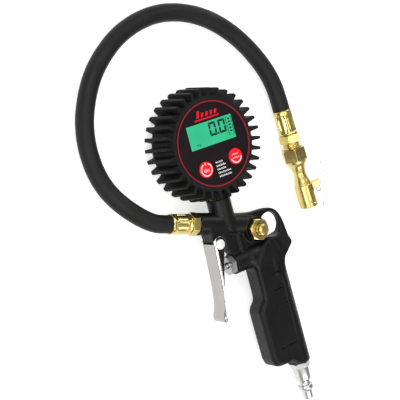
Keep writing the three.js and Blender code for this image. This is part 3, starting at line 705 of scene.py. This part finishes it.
def build_display():
    green = Finish("lit_display", (0.006, 0.08, 0.04), 0.25, coat=0.6)
    green.vary_roughness(6, 0.03)
    glow = green.node("ShaderNodeMix", data_type="RGBA")
    put(glow, {"A": (0.020, 0.47, 0.20, 1), "B": (0.045, 0.58, 0.29, 1)})
    green.link(green.spread(green.noise(22, detail=1), 0, 1), glow.inputs["Factor"])
    green.link(glow.outputs["Result"], green.shader.inputs["Emission Color"])
    put(green.shader, {"Emission Strength": 0.9})
    green.relief(3, 0.004)
    left, bottom, width, height = LCD
    glass = box_shape((left, bottom, 10.95), (left + width, bottom + height, 12.55))
    add("display_glass", *glass, green.material, "gun", ["lcd_window", "lcd_panel"], bevel=0.25)

    ink = Finish("display_segments", (0.002, 0.022, 0.014), 0.3, specular=0.3)
    ink.vary_roughness(2, 0.05).vary_color(3, (0.003, 0.034, 0.021)).relief(0.5, 0.002)
    shapes = []
    for u in (0.463, 0.675):
        shapes += segment_digit(*on_lcd(u, 0.655), 0.158 * width, 0.575 * height, 1.65)
    x, y = on_lcd(0.645, 0.655)
    shapes.append([(x - 0.7, y), (x + 0.7, y), (x + 0.7, y + 1.4), (x - 0.7, y + 1.4)])
    for v in (0.165, 0.295, 0.425, 0.555, 0.685):
        x, y = on_lcd(0.925, v)
        shapes.append([(x - 1.0, y - 0.55), (x + 1.0, y - 0.55), (x + 1.0, y + 0.65), (x - 1.0, y + 0.65)])
    marks = [patch(shape, INK_Z) for shape in shapes]
    for near, far in ((0.90, 0.868), (0.95, 0.982)):
        bracket = [on_lcd(near, 0.09), on_lcd(far, 0.09), on_lcd(far, 0.83), on_lcd(near, 0.83)]
        marks.append(ribbon(bracket, 0.5, INK_Z))
    add("display_marks", *merged(*marks), ink.material, "gun")

    faint = Finish("display_unit_mark", (0.006, 0.15, 0.07), 0.35, specular=0.3)
    faint.vary_roughness(2, 0.05).vary_color(2, (0.008, 0.17, 0.09)).relief(0.5, 0.002)
    ticks = [ribbon([on_lcd(u, 0.90), on_lcd(u, 0.80)], 0.5, INK_Z) for u in (0.14, 0.168, 0.192, 0.21)]
    ticks.append(ribbon([on_lcd(0.14, 0.80), on_lcd(0.162, 0.80)], 0.35, INK_Z))
    ticks.append(ribbon([on_lcd(0.182, 0.90), on_lcd(0.2, 0.90)], 0.35, INK_Z))
    add("display_unit", *merged(*ticks), faint.material, "gun")


def build_print():
    """Print on the face: a plain red mark above the display, and lines of small print below it."""
    red = Finish("printed_red", (0.72, 0.006, 0.02), 0.4, specular=0.2)
    red.vary_roughness(2, 0.06).vary_color(1.2, (0.60, 0.005, 0.016)).relief(0.4, 0.003)
    shapes = []
    for k, height in enumerate((5.0, 3.1, 3.1, 3.1, 3.1)):
        x = -9.0 + k * 3.9
        lean, top = height * 0.3, 20.6 + height
        shapes.append([(x, 20.6), (x + 2.1, 20.6), (x + 2.1 + lean, top), (x + lean, top)])
    shapes.append([(-11.6, 18.6), (9.6, 18.6), (11.0, 19.7), (-10.7, 19.7)])
    add("face_mark", *merged(*[patch(shape, PRINT_Z) for shape in shapes]), red.material, "gun")

    white = Finish("printed_white", (0.72, 0.72, 0.72), 0.45)
    white.vary_roughness(2, 0.05).vary_color(1.0, (0.6, 0.6, 0.6)).relief(0.4, 0.003)
    rng = np.random.default_rng(4)
    strokes = []
    lines = [((-2.6, -14.2), 6.2), ((-2.6, -16.9), 8.4), ((-2.6, -19.5), 7.6), ((-2.4, -22.1), 10.6),
             ((-2.2, -24.7), 10.4)]
    for (x, y), length in lines:
        end = x + length
        while x < end:
            wide, tall = float(rng.uniform(0.55, 1.0)), float(rng.uniform(0.9, 1.5))
            side, top = x + wide, y + tall
            stroke = [(x, y), (side, y), (side, y + tall * 0.45), (x + wide * 0.4, top), (x, top)]
            strokes.append(patch(stroke, PRINT_Z))
            x += wide + 0.35
    add("face_small_print", *merged(*strokes), white.material, "gun")


def arc(center, radius, start, end, steps=28):
    """Points along an arc, its angles in degrees."""
    angles = [radians(start + (end - start) * i / steps) for i in range(steps + 1)]
    return [(center[0] + radius * cos(a), center[1] + radius * sin(a)) for a in angles]


def build_buttons():
    red = Finish("button_red", (0.74, 0.003, 0.012), 0.38, specular=0.3)
    red.vary_roughness(4, 0.05).vary_color(5, (0.82, 0.006, 0.018))
    # Painted glow: the red caps give off a faint red light of their own, brightening them although they are
    # no lamp.
    put(red.shader, {"Emission Color": (0.85, 0.002, 0.010, 1), "Emission Strength": 0.10})
    red.relief(0.5, 0.01)
    white = Finish("button_print", (0.85, 0.78, 0.78), 0.45)
    white.vary_roughness(2, 0.05).vary_color(1.5, (0.8, 0.62, 0.64)).relief(0.4, 0.003)
    dome = [
        (0, 10.95), (5.75, 10.95), (5.9, 11.1), (5.9, 12.6), (5.7, 12.95), (5.2, 13.1), (3, 13.16),
        (0, 13.18),
    ]
    power, unit = (-11.9, -16.2), (15.4, -13.9)
    for name, center in (("power_button", power), ("unit_button", unit)):
        add(name + "_cap", *lathe(dome, "z", (*center, 0)), red.material, name, [name])
    x, y = power
    marks = [ribbon(arc((x, y), 4.5, 115, 425), 0.75, ICON_Z)]
    marks.append(ribbon([(x, y + 3.1), (x, y + 5.1)], 0.8, ICON_Z))
    letter = [(x + 0.7, y - 1.6), (x + 0.7, y + 0.5), (x + 2.1, y - 1.6), (x + 2.1, y + 0.5)]
    marks += [ribbon(arc((x - 1.2, y - 0.6), 0.95, 0, 360), 0.45, FINE_Z), ribbon(letter, 0.42, FINE_Z)]
    add("power_icon", *merged(*marks), white.material, "power_button")
    x, y = unit
    marks = [ribbon(arc((x, y), 4.5, 195, 350), 0.8, ICON_Z)]
    for row, (low, high) in enumerate(((-3.0, 2.8), (-3.2, 3.2))):
        level = y + 1.4 - row * 2.6
        for k in range(4):
            a = x + low + (high - low) * k / 4
            marks.append(ribbon([(a, level), (a + 0.9, level + 0.9), (a + 0.9, level)], 0.4, FINE_Z))
    add("unit_icon", *merged(*marks), white.material, "unit_button")


def build_gauge():
    rubber = moulded_rubber("boot_rubber")
    low, high = (-43, -43, -17.3), (43, 43, 15.3)
    sculpt("ribbed_boot", boot, low, high, 0.45, rubber, "gun", ["gauge_boot"], crease=60)
    dark = Finish("bezel_band", (0.010, 0.005, 0.006), 0.5, specular=0.12)
    dark.vary_roughness(5, 0.05).vary_color(9, (0.014, 0.006, 0.007)).relief(0.6, 0.006)
    band = [
        (29.2, 11.2), (31.35, 11.2), (31.45, 12.3), (31.4, 12.7), (31.25, 12.84), (29.35, 12.84),
        (29.2, 12.74), (29.2, 11.2),
    ]
    add("bezel_band", *lathe(band, "z", sides=160), dark.material, "gun", ["face_ring"], crease=50)
    # The first ring is the bezel's own dark red; the second is a painted highlight, a thin lighter red ring
    # standing in for the shine along the bezel's rounded crown.
    for name, inner, outer, height, color in (
        ("bezel_red", 30.05, 31.35, 12.86, (0.15, 0.004, 0.011)),
        ("bezel_painted_highlight", 30.55, 30.9, 12.88, (0.36, 0.03, 0.05)),
    ):
        red = Finish(name, color, 0.45, specular=0.15)
        red.vary_roughness(5, 0.05).vary_color(9, tuple(c * 0.8 for c in color)).relief(0.6, 0.006)
        add(name, *lathe([(inner, height), (outer, height)], "z", sides=160), red.material, "gun")
    build_display()
    build_print()
    build_buttons()


# -------- fittings

def build_gun_fittings():
    turned_brass = brass("brass_turned", (1, 0.25, 1))
    bar_brass = brass("brass_bar")
    stem = merged(
        hexagon_bar(13.4, -40.7, -36, center=(STEM_X, 0, 0), turn=radians(30)),
        lathe([(0, -36.2), (5.6, -36.2), (5.6, -30.5), (0, -30.5)], center=(STEM_X, 0, 0)),
        lathe([(0, -52.5), (6, -52.5), (6.5, -51.5), (6.5, -40.4), (0, -40.4)], center=(STEM_X, 0, 0)),
    )
    add("stem_hexagon", *stem, bar_brass, "gun", ["gauge_stem"], bevel=0.15)

    fitting = merged(
        hexagon_bar(15, 25.0, 30.9, bore=2.3),
        lathe([(2.3, 13.3), (6, 13.3), (6.5, 14), (6.5, 25.2), (2.3, 25.2), (2.3, 13.3)]),
        lathe([(2.3, 30.8), (6.9, 30.8), (6.9, 31.3), (2.3, 31.3), (2.3, 30.8)]),
    )
    add("outlet_hexagon", *fitting, bar_brass, "gun", ["hose_fitting"], OUTLET, bevel=0.15)
    sleeve = crimped(7.6, 13.6, 31.2, 47.6, 33.2, 45.4, radians(14), wall=0.8, dent=0.45)
    add("gun_crimp_sleeve", *sleeve, turned_brass, "gun", ["gun_ferrule"], OUTLET, crease=45)

    at = (*RELIEF, 0)
    relief = merged(
        hexagon_bar(15, 8.3, 12.5, "z", at, radians(38.6), 4.6, (0, 1)),
        lathe([(4.6, 12.5), (4.6, 9), (4.2, 8.6), (0, 8.6)], "z", at),
        lathe([(0, -1.6), (6, -1.6), (6, 8.4), (0, 8.4)], "z", at),
    )
    add("relief_hexagon", *relief, bar_brass, "gun", ["relief_body"], bevel=0.15)
    knob = [
        (0, -4), (3.4, -4), (3.4, -2), (2, -2), (2, 8.7), (3.95, 8.7), (4.1, 8.85), (4.1, 16.2),
        (3.9, 16.7), (3.4, 17.0), (2.4, 17.2), (1.2, 17.32), (0, 17.36),
    ]
    add("relief_knob", *lathe(knob, "z", at), turned_brass, "relief_button", ["relief_button"], bevel=0.12)

    grey = steel("steel_plated", (0.50, 0.50, 0.51), 0.3)
    at = (0, VALVE_Y, 0)
    nut = merged(
        hexagon_bar(14, -8.1, -3.9, "x", at, radians(12), 2.65, (1, 0)),
        lathe([(2.65, -4.2), (5.3, -4.2), (5.3, 4), (2.65, 4), (2.65, -4.2)], "x", at),
    )
    add("valve_hexagon", *nut, grey, "gun", ["valve_nut"], bevel=0.15)
    pin = [(0, -18.2), (1.0, -18.12), (1.8, -17.8), (2.25, -17.1), (2.25, 26), (0, 26)]
    seat_x = (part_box("valve_stem")[1].x - DATUM[0]) / MM
    pin = [(r, min(h, seat_x)) for r, h in pin]
    add("valve_pin", *lathe(pin, "x", at), steel("steel_bright"), "valve_stem", ["valve_stem"], bevel=0.1)

    at = (INLET_X, 0, 0)
    plug = [
        (2.8, -213.3), (3.4, -213.3), (3.8, -213.0), (4, -212.3), (4.45, -206.7), (5.0, -205.9),
        (5.7, -205.2), (5.95, -204.5), (5.95, -202.6), (5.7, -202.0), (4.6, -201.3), (4.4, -200.8),
        (4.4, -198.8), (4.8, -198.1), (5.8, -197.4), (6.1, -196.8), (6.1, -187.4), (2.8, -187.4),
        (2.8, -213.3),
    ]
    nipple = merged(
        lathe(plug, center=at),
        hexagon_bar(14, -187.3, -183.1, center=at, turn=radians(30), bore=2.8),
        lathe([(2.8, -183.8), (6.5, -183.8), (6.5, -168.3), (2.8, -168.3), (2.8, -183.8)], center=at),
    )
    nickel = steel("steel_nickel", (0.62, 0.62, 0.61), 0.32)
    add("air_plug", *nipple, nickel, "gun", ["inlet_nipple"], bevel=0.15)


# -------- trigger

TRIGGER_FRONT = [
    (-18.4, -58), (-19.1, -70.6), (-20.3, -90.2), (-21.5, -106), (-23.4, -117.5), (-26.6, -123.5),
    (-26.9, -127), (-24.4, -129.5),
]
TRIGGER_REAR = [
    (-23.0, -131), (-23.9, -127.4), (-24.2, -124.4), (-23.6, -120.4), (-21.5, -111.9), (-20.1, -104.7),
    (-16.2, -90.7), (-12.2, -78.2), (-12.4, -70.6),
]


def trigger(x, y, z):
    """A pressed-steel trigger: one sheet bent round the front into two side flanges with an ear on each."""
    front = corner_arcs(TRIGGER_FRONT, 6, 4)[5:] + [(10, -129.5), (10, -58)]
    deep = outline(x, y, front)
    outside = rounded(deep, abs(z) - 8.6, 2.4)
    inside = rounded(deep + 1.4, abs(z) - 7.2, 1.1)
    ear = np.maximum(np.hypot(x - PIVOT[0], y - PIVOT[1]) - 5.8, 6.9 - abs(z))
    side = outline(x, y, [(-32, -70.6), (-32, -131), *TRIGGER_REAR])
    tongue = rounded(-(y + 129.6), abs(z) - 8.6, 5.5)
    shell = cut(outside, inside, 0.3)
    shell = overlap(shell, union(side, ear, 0.6), 0.4)
    return overlap(shell, tongue, 0.3)


def build_trigger():
    low, high = (-28.5, -131, -9.2), (-7, -65, 9.2)
    sculpt("bent_trigger", trigger, low, high, 0.36, chrome(), "trigger", ["trigger"], crease=50)
    pale = Finish("steel_rivet", (0.84, 0.84, 0.83), 0.5, metallic=0.4)
    pale.vary_roughness(2.5, 0.04).vary_color(4, (0.78, 0.78, 0.77)).relief(1.6, 0.002)
    head = [(2, 8.8), (3.7, 8.8), (3.75, 8.9), (3.6, 9.1), (3.0, 9.4), (1.8, 9.65), (0, 9.75)]
    rivet = [(r, -z) for r, z in reversed(head)] + head
    add("trigger_rivet", *lathe(rivet, "z", (*PIVOT, 0)), pale.material, "gun", ["trigger_pin"], bevel=0.1)


# -------- hose and chuck

HOSE_ROUTE = [
    (-43.2, -47.0, 0), (-46.26, -46.02, 0), (-50.1, -44.77, 0), (-56.2, -42.3, -0.2),
    (-63.0, -37.4, -1.0), (-69.6, -30.7, -2.3), (-75.7, -22.9, -4.1), (-80.6, -14.4, -6.3),
    (-84.0, -5.4, -8.3), (-86.0, 4.2, -9.7), (-86.9, 14.0, -10.2), (-86.8, 24.0, -10.2),
    (-85.4, 33.7, -10.2), (-82.8, 43.0, -10.2), (-78.9, 51.9, -10.2), (-74.1, 60.6, -10.2),
    (-68.0, 69.1, -10.2), (-60.5, 76.9, -10.2), (-51.6, 84.0, -10.2), (-41.4, 90.3, -10.2),
    (-29.9, 95.0, -10.2), (-17.3, 98.0, -10.2), (-4.4, 98.9, -10.2), (7.8, 97.6, -10.2),
    (20.2, 94.2, -10.2), (32.2, 88.9, -10.2), (43.8, 81.4, -10.2), (54.1, 72.2, -10.2),
    (63.2, 61.7, -10.2), (70.8, 49.9, -9.9), (76.4, 37.9, -9.2), (79.8, 26.0, -8.6),
    (81.1, 14.6, -8.35), (81.58, 4.3, -8.35), (81.7, 1.2, -8.35),
]


def build_hose():
    curve = bpy.data.curves.new("hose_line", "CURVE")
    curve.dimensions = "3D"
    curve.resolution_u = 10
    curve.bevel_depth = HOSE_R * MM
    curve.bevel_resolution = 10
    curve.use_fill_caps = True
    line = curve.splines.new("BEZIER")
    line.bezier_points.add(len(HOSE_ROUTE) - 1)
    for knot, place in zip(line.bezier_points, HOSE_ROUTE):
        knot.co = Vector(DATUM) + Vector(place) * MM
        knot.handle_left_type = knot.handle_right_type = "AUTO"
    hose = linked("rubber_hose", curve)
    rubber = Finish("hose_rubber", (0.008, 0.0075, 0.007), 0.52, specular=0.20)
    rubber.vary_roughness(12, 0.05).vary_color(20, (0.012, 0.012, 0.012))
    rubber.relief(0.45, 0.025).relief(7, 0.05)
    curve.materials.append(rubber.material)
    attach(hose, "gun")
    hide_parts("hose")


CLIP = (15.0, -60.1)  # the clip's pin
SLOT_R = 19.05  # from the pin to the saw cut and the tooth in it
LEVER = [
    (22.5, -34.65), (19.0, -44.1), (18.2, -47.45), (17.9, -50.4), (18.0, -53.8), (17.7, -57), (17.5, -60),
    (17.2, -62.25), (13.7, -74.8), (12.3, -77.45), (11.2, -79.9),
]
CHEEK_OUTLINE = [
    (18.2, -46.6), (17.2, -47.8), (15.1, -55.4), (13.2, -59.4), (13.2, -61.2), (14.6, -62.3), (17.3, -62.3),
    (17.6, -60), (18.0, -54),
]
NECK_OUTLINE = [
    (0, -37), (8.3, -37), (8.3, -41.2), (7.9, -42.4), (7.0, -43.6), (6.1, -45), (5.4, -46.6),
    (4.95, -48.5), (4.75, -50.5), (4.75, -52), (5.0, -54), (5.5, -56), (6.2, -58), (6.5, -59.3),
    (6.62, -60.1), (6.68, -60.4), (7.05, -60.75), (7.12, -61.1), (7.08, -78.1), (6.6, -78.6),
    (0, -78.6),
]
ARM_OUTLINE = [
    (4, -60.5), (13.8, -58.9), (15.9, -60.6), (15.5, -61.6), (13.2, -62.4), (9.8, -63.9), (4, -68),
]


def chuck_head(x, y, z):
    """The brass chuck: hexagon, waist, and a barrel with a saw cut for the tooth and an arm for the pin."""
    r = np.hypot(x, z)
    hexagonal = hexagon(x, z, 17, radians(54))
    hexagonal = overlap(hexagonal, (r - 9.25 + (y + 30.6) * 0.55) * 0.85, 0.1)
    hexagonal = rounded(hexagonal, abs(y + 35.5) - 4.9, 0.25)
    hexagonal = overlap(hexagonal, (r - 9.3 - (y + 40.4) * 0.9) * 0.75, 0.2)
    neck = outline(r, y, NECK_OUTLINE)
    arm = slab(outline(x, y, ARM_OUTLINE), z, 2.8, 0.5)
    end = bar(x, y, z, (*CLIP, -2.8), (*CLIP, 2.8), 1.55, 0.4)
    body = union(union(hexagonal, neck, 0.9), union(arm, end, 0.3), 1.2)
    reach = np.hypot(x - CLIP[0], y - CLIP[1])
    kerf = np.maximum(np.maximum(abs(reach - SLOT_R) - 0.55, 2.4 - x), y + 70)
    body = cut(body, kerf, 0.15)
    body = cut(body, rounded(r - 4.6, y + 60.5, 0.1), 0.4)
    return cut(body, np.maximum(r - 7.0, -(y + 35)), 0.2)


def chuck_clip(x, y, z):
    """The sprung clip, bent from one sheet: thumb lever, two cheeks and a tooth."""
    away = np.full(np.broadcast(x, y).shape, np.inf)
    for (ax, ay), (bx, by) in zip(LEVER, LEVER[1:]):
        ex, ey = bx - ax, by - ay
        t = np.clip(((x - ax) * ex + (y - ay) * ey) / (ex * ex + ey * ey), 0, 1)
        away = np.minimum(away, np.hypot(x - ax - ex * t, y - ay - ey * t))
    leaf = slab(away - 0.42, z, 4.2, 0.25)
    leaf = union(leaf, bar(x, y, z, (22.7, -35.6, -4.0), (22.7, -35.6, 4.0), 0.75, 0.3), 0.5)
    cheeks = rounded(outline(x, y, CHEEK_OUTLINE), abs(abs(z) - 3.8) - 0.4, 0.2)
    reach = np.hypot(x - CLIP[0], y - CLIP[1])
    tooth = np.maximum(np.maximum(abs(reach - SLOT_R) - 0.35, y + 70), np.maximum(4.3 - x, x - 11.4))
    tooth = rounded(tooth, abs(z) - 3, 0.15)
    bump = bar(x, y, z, (14.2, -75.9, -1.6), (14.2, -75.9, 1.6), 0.8, 0.3)
    return union(union(union(leaf, cheeks, 0.5), tooth, 0.5), bump, 0.3)


def wire(points, radius, sides=10):
    """A round wire through points, as a mesh tube."""
    line = np.array(points, float)
    along = np.gradient(line, axis=0)
    along /= np.linalg.norm(along, axis=1)[:, None]
    vertices, faces = [], []
    normal = np.cross(along[0], (0.3, 0.2, 1.0))
    for i, (p, t) in enumerate(zip(line, along)):
        normal = normal - t * normal.dot(t)
        normal /= np.linalg.norm(normal)
        other = np.cross(t, normal)
        for k in range(sides):
            angle = 2 * pi * k / sides
            vertices.append(p + radius * (cos(angle) * normal + sin(angle) * other))
        if i:
            a, b = (i - 1) * sides, i * sides
            faces += [(a + k, a + (k + 1) % sides, b + (k + 1) % sides, b + k) for k in range(sides)]
    faces += [list(range(sides))[::-1], [len(vertices) - sides + k for k in range(sides)]]
    return vertices, faces


def build_chuck():
    turned_brass = brass("brass_chuck_turned", (1, 0.25, 1))
    bar_brass = brass("brass_chuck")
    sleeve = crimped(7.25, 13.0, -18.8, 0.1, -17.0, -3.6, radians(20), wall=0.55, dent=0.3)
    add("chuck_crimp_sleeve", *sleeve, turned_brass, "gun", ["chuck_ferrule"], CHUCK, crease=45)
    nut = merged(
        hexagon_bar(15.2, -25.6, -19.1, turn=radians(-21.3)),
        lathe(grooved(6.75, -35.0, -25.4, 1.35, 0.55)),
    )
    add("chuck_nut", *nut, bar_brass, "gun", ["chuck_fitting"], CHUCK, crease=35, bevel=0.15)
    sculpt("chuck_barrel", chuck_head, (-10.4, -79.2, -10.4), (17.5, -30.2, 10.4), 0.36, turned_brass, "gun",
           ["chuck_body"], CHUCK, crease=32)
    bright = steel("steel_clip", (0.76, 0.76, 0.76), 0.16)
    sculpt("thumb_clip", chuck_clip, (3.6, -81, -4.8), (24, -33.8, 4.8), 0.24, bright, "chuck_clip",
           ["chuck_clip"], CHUCK, crease=45)
    head = [(0.9, 4.25), (1.3, 4.25), (1.3, 4.5), (1.1, 4.75), (0, 4.75)]
    pin = [(r, -z) for r, z in reversed(head)] + head
    add("clip_rivet", *lathe(pin, "z", (*CLIP, 0), 32), bright, "gun", ["clip_pin"], CHUCK)
    (x, y), r, turns, pitch, steps = (10.7, -67.2), 1.5, 2.75, 0.78, 66
    low = -turns * pitch / 2
    points = [(x + r, -64, low), (x + r, -65.6, low)]
    for i in range(steps + 1):
        turn = turns * i / steps
        angle = -2 * pi * turn
        points.append((x + r * cos(angle), y + r * sin(angle), low + turn * pitch))
    points += [(12.4, y + r, -low), (14.7, y + r, -low)]
    spring_steel = steel("steel_wire", (0.6, 0.6, 0.6), 0.2)
    add("clip_coil", *wire(points, 0.34), spring_steel, "gun", ["clip_spring"], CHUCK)


# -------- coil springs

def coil(node, free, fixed, mean_radius, wire_radius, turns, place=GUN):
    """A coil spring between two points, wound from its free end to its fixed end."""
    free, fixed = Vector(free), Vector(fixed)
    ahead = (fixed - free).normalized()
    side = ahead.orthogonal().normalized()
    other = ahead.cross(side)
    length = (fixed - free).length
    steps = turns * 20
    points = []
    for i in range(steps + 1):
        angle = pi * i / 10
        rise = wire_radius + (length - 2 * wire_radius) * i / steps
        points.append(free + ahead * rise + mean_radius * (cos(angle) * side + sin(angle) * other))
    look = steel(node + "_wire", (0.58, 0.58, 0.57), 0.24)
    piece = add(node + "_coil", *wire(points, wire_radius, 8), look, "gun", [node], place)
    low, high = place.to_datum([free, fixed]) * MM + DATUM
    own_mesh(piece)


def build_springs():
    coil("valve_spring", (14.8, VALVE_Y, 0), (23.7, VALVE_Y, 0), 3.6, 0.5, 4)
    coil("relief_spring", (*RELIEF, 8.7), (*RELIEF, 4.3), 3.3, 0.45, 3)
    coil("chuck_spring", (0, -63.8, 0), (0, -60.8, 0), 2.8, 0.35, 2, CHUCK)


# -------- pieces kept from the frame

def dress_kept_nodes():
    """Materials for the CAD pieces that keep their own shape, most of them inside."""
    looks = {
        "face_plate": plastic("face_gloss", (0.0085, 0.0055, 0.0065), 0.42, (0.0105, 0.007, 0.008),
                              specular=0.12),
        "gauge_case": plastic("case_plastic", (0.013, 0.013, 0.013)),
        "battery_cover": plastic("cover_plastic", (0.015, 0.015, 0.015), 0.5),
        "circuit_board": plastic("board_green", (0.012, 0.10, 0.035), 0.4, (0.016, 0.14, 0.05)),
        "lcd_backlight": plastic("light_guide", (0.55, 0.62, 0.58), 0.3),
    }
    shared = [
        (steel("steel_inner"), ["board_screw_1", "board_screw_2", "board_screw_3", "board_screw_4",
                                "battery_contact_left", "battery_contact_right", "pressure_sensor"]),
        (brass("brass_inner"), ["valve_seat", "inlet_filter", "chuck_poppet"]),
        (moulded_rubber("seal_rubber", 0.5), ["stem_seal", "valve_seal", "valve_poppet", "chuck_seal"]),
        (plastic("switch_plastic", (0.02, 0.02, 0.02), 0.4), ["power_switch", "unit_switch"]),
        (plastic("cell_wrap", (0.05, 0.09, 0.20), 0.35, (0.06, 0.11, 0.26)), ["battery_1", "battery_2"]),
    ]
    for look, names in shared:
        looks.update(dict.fromkeys(names, look))
    for name, look in looks.items():
        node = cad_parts[name]
        node.data.materials.clear()
        node.data.materials.append(look)
        edge = node.modifiers.new("soft edges", "BEVEL")
        edge.width = 0.12 * MM
        edge.segments = 2
        edge.limit_method = "ANGLE"


build_camera()
build_stage()
build_chuck()
build_springs()
build_hose()
build_casting()
build_gauge()
build_gun_fittings()
build_trigger()
dress_kept_nodes()
